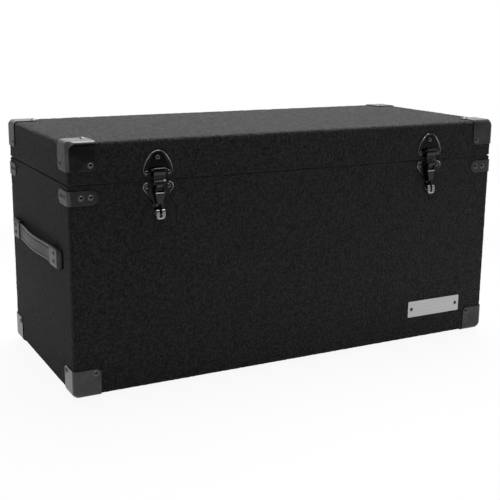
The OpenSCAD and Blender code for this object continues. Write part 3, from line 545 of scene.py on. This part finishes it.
dress(rivet_nickel, "latch_base_rivets", "latch_keeper_rivets")
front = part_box("base_carpet")[0].y
for side, name in SIDES:
    dress(polished, "latch_base_" + name, "latch_keeper_" + name, "latch_lever_" + name,
          "latch_hook_" + name)
    dress(nickel, "latch_pivot_" + name, "latch_link_pin_" + name)
    dress(bright, "padlock_staple_" + name)
    sweep = ARCH_SIDE_RADIUS - ARCH_TOP_RADIUS
    over, down = sweep * cos(ARCH_TURN), sweep * sin(ARCH_TURN)
    top = Vector((side * LATCH_X, front - BORDER_THICK, ARCH_SIDE_Z + down))
    arch = [(top + Vector((-over, 0, -down)), ARCH_SIDE_RADIUS, ARCH_FOOT, ARCH_TURN),
            (top, ARCH_TOP_RADIUS, ARCH_TURN, pi - ARCH_TURN),
            (top + Vector((over, 0, -down)), ARCH_SIDE_RADIUS, pi - ARCH_TURN, pi - ARCH_FOOT)]
    # The keeper's rolled rim carries the painted highlight
    bm = bmesh.new()
    rolled_rim(bm, arch)
    new_piece("keeper_rim_" + name, bm, "lid", rim_painted_highlight)
    # The border's plate fills the arch under the keeper
    bm = bmesh.new()
    first = bm.verts.new(on_arc(*arch[0][:3]))
    last = spin_along(bm, [first], arch)[0]
    bm.edges.new((last, first))
    bmesh.ops.contextual_create(bm, geom=bm.edges[:])
    grown = bmesh.ops.extrude_face_region(bm, geom=bm.faces[:])["geom"]
    bmesh.ops.translate(bm, verts=[part for part in grown if isinstance(part, bmesh.types.BMVert)],
                        vec=(0, BORDER_THICK, 0))
    new_piece("keeper_border_" + name, bm, "lid", polished, smooth=False)
    # The base plate's rims round both shoulders carry the painted highlight too
    bm = bmesh.new()
    for way in (-1, 1):
        start, stop = [angle if way > 0 else pi - angle for angle in (SHOULDER_START, SHOULDER_STOP)]
        shoulder = Vector((side * LATCH_X + way * SHOULDER_X, front - BASE_RIM_OUT, SEAM_Z - SHOULDER_DROP))
        rolled_rim(bm, [(shoulder, SHOULDER_RADIUS, start, stop)], tail=RIM_TAIL)
    new_piece("base_rim_" + name, bm, "base", rim_painted_highlight)
    # The lever's web has its top edge turned over, where the thumb gets under it
    bm = bmesh.new()
    near_end = (side * LATCH_X - LEVER_LIP_LONG / 2, front - LEVER_LIP_OUT, SEAM_Z - LEVER_LIP_DROP)
    edges = start_wire(bm, LEVER_LIP_WIRE, Matrix.Rotation(pi / 2, 3, "Y"), near_end)
    edges = draw_on(bm, edges, (LEVER_LIP_LONG, 0, 0))[1]
    bmesh.ops.contextual_create(bm, geom=edges)
    # The lip is painted bright, a painted highlight
    new_piece("lever_lip_" + name, bm, "lever_" + name, lip_painted_highlight)


# ---- Strap handles ----
# An embossed grey vinyl strap on each end, with a vinyl cord rolled into both edges and a row of
# stitches beside each. Steel caps screw its ends down, and it bows out so that the fingers fit
# behind.

STRAP_THICK = 0.004
STRAP_WIDE = 0.025
STRAP_OUT = 0.0074
STRAP_BOW = 0.0045
STRAP_EDGE = 0.0014
STRAP_CUTS_LONG, STRAP_CUTS_WIDE = 110, 60
CAP_MOUTH = 0.092
# The sewn groove, in from the strap's edge
STITCH_IN = 0.0038
GROOVE_HALF, GROOVE_DEEP = 0.0011, 0.0006
STITCH_PITCH, STITCH_LONG, STITCH_THICK, STITCH_SUNK = 0.004, 0.003, 0.0008, 0.0001
# A stitch leans as the strap does between the points this far to each side of it
LEAN_SPAN = 0.001
# The cord's radius, how far its middle lies under the face, and how far it stands past the edge
PIPING = 0.0012
PIPING_UNDER, PIPING_PAST = 0.0007, 0.0003
PIPING_STEPS = 80
# A wave texture of scale s repeats every pi / (10 s)
EMBOSS_CELL, TWIST_PITCH = 0.003, 0.000377
CREASE_WIDE, HAND_RUB_WIDE = 0.002, 0.008

# Vinyl embossed like webbing, in cells of 3 mm: half gloss, with painted shade darkening its hollows
vinyl, tree, shader = new_material("embossed_grey_vinyl", {"Roughness": 0.45, "Specular IOR Level": 0.3})
place = add_node(tree, "ShaderNodeTexCoord")
weft, warp = [add_node(tree, "ShaderNodeTexWave",
                       {"Vector": place.outputs["Object"], "Scale": pi / (10 * EMBOSS_CELL)},
                       bands_direction=direction).outputs["Fac"] for direction in ("Y", "Z")]
emboss = add_node(tree, "ShaderNodeMath", {0: weft, 1: warp}, operation="MULTIPLY")
# The colour darkens with the emboss's depth, a painted shade in its hollows
tone = add_node(tree, "ShaderNodeValToRGB", {"Fac": emboss.outputs[0]},
                stops=((0.0, "#262626"), (1.0, "#686868")))
relief = add_node(tree, "ShaderNodeBump",
                  {"Height": emboss.outputs[0], "Strength": 0.7, "Distance": 0.0005})
set_inputs(shader, {"Base Color": tone.outputs[0], "Normal": relief.outputs[0]})

# Smooth extruded vinyl, glossier than the strap and painted paler as a painted highlight along its edges,
# with fine creases where it bends
cord, tree, shader = new_material("smooth_grey_vinyl_piping", {"Roughness": 0.3})
place = add_node(tree, "ShaderNodeTexCoord")
creases = add_node(tree, "ShaderNodeTexNoise",
                   {"Vector": place.outputs["Object"], "Scale": 1 / CREASE_WIDE})
tone = add_node(tree, "ShaderNodeValToRGB", {"Fac": creases.outputs["Fac"]},
                stops=((0.0, "#666666"), (1.0, "#8a8a8a")))
set_inputs(shader, {"Base Color": tone.outputs[0]})

# Twisted polyester thread: light grey and soft, ribbed by its twist
thread, tree, shader = new_material("polyester_sewing_thread", {
    "Base Color": linear("#7d7d7d"), "Roughness": 0.6})
place = add_node(tree, "ShaderNodeTexCoord")
twist = add_node(tree, "ShaderNodeTexWave",
                 {"Vector": place.outputs["Object"], "Scale": pi / (10 * TWIST_PITCH)})
relief = add_node(tree, "ShaderNodeBump", {"Height": twist.outputs["Fac"], "Distance": 0.0002})
set_inputs(shader, {"Normal": relief.outputs[0]})

# The caps are black nickel plated too, and hands have rubbed them dull
handled, tree, shader = new_material("dulled_black_nickel_steel", {"Metallic": 1.0})
place = add_node(tree, "ShaderNodeTexCoord")
rubs = add_node(tree, "ShaderNodeTexNoise",
                {"Vector": place.outputs["Object"], "Scale": 1 / HAND_RUB_WIDE, "Detail": 6.0})
tone = add_node(tree, "ShaderNodeValToRGB", {"Fac": rubs.outputs["Fac"]},
                stops=((0.3, "#242424"), (0.7, "#3c3c3c")))
gloss = add_node(tree, "ShaderNodeMapRange",
                 {"Value": rubs.outputs["Fac"], "To Min": 0.3, "To Max": 0.42})
rounded = add_node(tree, "ShaderNodeBevel", {"Radius": PRESSED_EDGE}, samples=6)
set_inputs(shader, {"Base Color": tone.outputs[0], "Roughness": gloss.outputs[0],
                    "Normal": rounded.outputs[0]})
dress(handled, "handle_caps_left", "handle_caps_right")
dress(rivet_nickel, "handle_screws")


def strap_bow_at(along):
    """How far the strap's middle line stands out beyond its ends, along its length."""
    quarter = CAP_MOUTH / 2
    radius = (quarter ** 2 + (STRAP_BOW / 2) ** 2) / STRAP_BOW
    run = abs(along)
    if run >= CAP_MOUTH:
        return 0.0
    if run >= quarter:
        return radius - sqrt(radius ** 2 - (CAP_MOUTH - run) ** 2)
    return STRAP_BOW - radius + sqrt(radius ** 2 - run ** 2)


for side, name in SIDES:
    low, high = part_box("handle_strap_" + name)
    centre_z = (low.z + high.z) / 2
    wall = side * abs(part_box("base_carpet")[0].x)
    length = high.y - low.y
    bm = new_box((STRAP_THICK, length, STRAP_WIDE))
    round_edges(bm, edges_along(bm, axis=1), STRAP_EDGE)
    bmesh.ops.subdivide_edges(bm, edges=edges_along(bm, axis=1), cuts=STRAP_CUTS_LONG, use_grid_fill=True)
    flat = edges_along(bm, axis=2, longer_than=STRAP_WIDE / 2)
    bmesh.ops.subdivide_edges(bm, edges=flat, cuts=STRAP_CUTS_WIDE, use_grid_fill=True)
    for v in bm.verts:
        from_edge = STRAP_WIDE / 2 - abs(v.co.z)
        groove = max(0.0, 1 - abs(from_edge - STITCH_IN) / GROOVE_HALF)
        v.co.x -= GROOVE_DEEP * groove * (1 if v.co.x > 0 else -1)
        out = STRAP_OUT - STRAP_THICK / 2 + strap_bow_at(v.co.y) + side * v.co.x
        v.co = Vector((wall + side * out, v.co.y, centre_z + v.co.z))
    strap = new_piece("sewn_strap_" + name, bm, "base", vinyl)
    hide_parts("handle_strap_" + name)
    # The cords follow the strap's bow along both of its edges
    bm = bmesh.new()
    stations = [length * (k / PIPING_STEPS - 0.5) for k in range(PIPING_STEPS + 1)]
    for row in (-1, 1):
        path = [Vector((wall + side * (STRAP_OUT - PIPING_UNDER + strap_bow_at(y)), y,
                        centre_z + row * (STRAP_WIDE / 2 - PIPING + PIPING_PAST))) for y in stations]
        edges = start_wire(bm, PIPING, Matrix.Rotation(pi / 2, 3, "X"), path[0])
        for here, there in zip(path, path[1:]):
            edges = draw_on(bm, edges, there - here)[1]
        bmesh.ops.contextual_create(bm, geom=edges)
    new_piece("strap_piping_" + name, bm, "base", cord)
    # Two rows of stitches, each a short rounded bar that lies in the sewn groove
    bm = bmesh.new()
    count = int((2 * CAP_MOUTH - STITCH_PITCH) / STITCH_PITCH)
    for row in (-1, 1):
        for k in range(count):
            y = (k - (count - 1) / 2) * STITCH_PITCH
            slope = atan2(strap_bow_at(y + LEAN_SPAN) - strap_bow_at(y - LEAN_SPAN), 2 * LEAN_SPAN)
            turn = Matrix.Rotation(-side * slope, 3, "Z")
            stitch = bmesh.ops.create_uvsphere(bm, u_segments=8, v_segments=5, radius=0.5)["verts"]
            bmesh.ops.scale(bm, vec=(STITCH_THICK, STITCH_LONG, STITCH_THICK), verts=stitch)
            bmesh.ops.rotate(bm, verts=stitch, cent=(0, 0, 0), matrix=turn)
            out = STRAP_OUT + strap_bow_at(y) - STITCH_SUNK
            at = (wall + side * out, y, centre_z + row * (STRAP_WIDE / 2 - STITCH_IN))
            bmesh.ops.translate(bm, verts=stitch, vec=at)
    new_piece("strap_stitches_" + name, bm, "base", thread)


# ---- Name plate ----
# A bare plate of brushed aluminium sheet, held low on the right of the front by two black nickel
# plated screws.

# The brush leaves lines 62 mm long and 0.56 mm apart
LINE_LONG, LINE_WIDE = 1 / 16, 1 / 1800

# Brushed aluminium: pale satin metal, streaked along its length
plate_metal, tree, shader = new_material("brushed_aluminium", {"Metallic": 1.0, "Roughness": 0.38})
place = add_node(tree, "ShaderNodeTexCoord")
stretch = add_node(tree, "ShaderNodeMapping",
                   {"Vector": place.outputs["Object"],
                    "Scale": (1 / LINE_LONG, 1 / LINE_WIDE, 1 / LINE_WIDE)})
lines = add_node(tree, "ShaderNodeTexNoise", {"Vector": stretch.outputs[0], "Scale": 1.0})
tone = add_node(tree, "ShaderNodeValToRGB", {"Fac": lines.outputs["Fac"]},
                stops=((0.0, "#9c9c9c"), (1.0, "#cacaca")))
set_inputs(shader, {"Base Color": tone.outputs[0]})
dress(plate_metal, "name_plate")
dress(rivet_nickel, "name_plate_screws")


# ---- Hinges ----
# Two butt hinges of zinc plated steel, riveted to the back of body and lid. Tabs on their leaves
# meet when the lid is fully open.

SPANGLE_WIDE = 0.006

# Zinc plate: dull grey, with a faint crystalline mottle
zinc, tree, shader = new_material("zinc_plated_steel", {"Metallic": 1.0, "Roughness": 0.4})
place = add_node(tree, "ShaderNodeTexCoord")
spangle = add_node(tree, "ShaderNodeTexVoronoi",
                   {"Vector": place.outputs["Object"], "Scale": 1 / SPANGLE_WIDE})
tone = add_node(tree, "ShaderNodeValToRGB", {"Fac": spangle.outputs["Distance"]},
                stops=((0.0, "#8f8f8f"), (1.0, "#a8a8a8")))
set_inputs(shader, {"Base Color": tone.outputs[0]})
dress(zinc, *[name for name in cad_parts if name.startswith("hinge_") and "rivets" not in name])
dress(rivet_nickel, "hinge_body_rivets", "hinge_lid_rivets")


# ---- Feet ----
# Four feet moulded in black rubber, each held under the floor panel by one zinc plated screw in
# its counterbore.

GRIT_WIDE, SCRATCH_WIDE = 0.0008, 0.0012

# Rubber from a spark-eroded mould: matt black, with a fine grain
rubber, tree, shader = new_material("moulded_black_rubber", {
    "Base Color": linear("#181818"), "Roughness": 0.8})
place = add_node(tree, "ShaderNodeTexCoord")
grit = add_node(tree, "ShaderNodeTexNoise", {"Vector": place.outputs["Object"], "Scale": 1 / GRIT_WIDE})
relief = add_node(tree, "ShaderNodeBump",
                  {"Height": grit.outputs["Fac"], "Strength": 0.4, "Distance": 0.0003})
set_inputs(shader, {"Normal": relief.outputs[0]})
dress(rubber, "rubber_feet")

# Zinc plated screw heads: light grey, their gloss broken by scratches
screws, tree, shader = new_material("zinc_plated_screws", {
    "Base Color": linear("#a4a4a4"), "Metallic": 1.0})
place = add_node(tree, "ShaderNodeTexCoord")
scratches = add_node(tree, "ShaderNodeTexNoise",
                     {"Vector": place.outputs["Object"], "Scale": 1 / SCRATCH_WIDE})
gloss = add_node(tree, "ShaderNodeMapRange",
                 {"Value": scratches.outputs["Fac"], "To Min": 0.22, "To Max": 0.4})
set_inputs(shader, {"Roughness": gloss.outputs[0]})
dress(screws, "foot_screws")


# ---- Foam pads ----
# Charcoal polyether foam, 6 mm thick on the floor and 10 mm in the lid, cut from sheet and glued
# in. The cut edges crown a little, and the face is never quite flat.

FOAM_EDGE = 0.002
FOAM_CELL = 0.012
FOAM_UNEVEN, FOAM_WAVES = 0.0006, 25
PORE_WIDE = 0.0018

# Open foam: matt and dark, with pores whose pits are painted darker, a painted shade
foam, tree, shader = new_material("charcoal_foam", {"Roughness": 1.0, "Specular IOR Level": 0.1})
place = add_node(tree, "ShaderNodeTexCoord")
pores = add_node(tree, "ShaderNodeTexVoronoi", {"Vector": place.outputs["Object"], "Scale": 1 / PORE_WIDE})
tone = add_node(tree, "ShaderNodeValToRGB", {"Fac": pores.outputs["Distance"]},
                stops=((0.0, "#1b1b1b"), (1.0, "#3d3d3d")))
relief = add_node(tree, "ShaderNodeBump",
                  {"Height": pores.outputs["Distance"], "Strength": 0.7, "Distance": 0.001})
set_inputs(shader, {"Base Color": tone.outputs[0], "Normal": relief.outputs[0]})

for node, body, face_up in (("floor_pad", "base", 1), ("lid_pad", "lid", -1)):
    low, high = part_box(node)
    size = high - low
    bm = new_box(size)
    round_edges(bm, [e for e in bm.edges if min(v.co.z * face_up for v in e.verts) > 0], FOAM_EDGE)
    for axis in range(2):
        bmesh.ops.subdivide_edges(bm, edges=edges_along(bm, axis), cuts=round(size[axis] / FOAM_CELL),
                                  use_grid_fill=True)
    for v in bm.verts:
        if v.co.z * face_up > 0:
            v.co.z -= face_up * FOAM_UNEVEN * (0.5 + 0.5 * noise.noise(v.co * FOAM_WAVES))
    bmesh.ops.translate(bm, verts=bm.verts, vec=(low + high) / 2)
    pad = new_piece(node + "_foam", bm, body, foam)
    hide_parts(node)
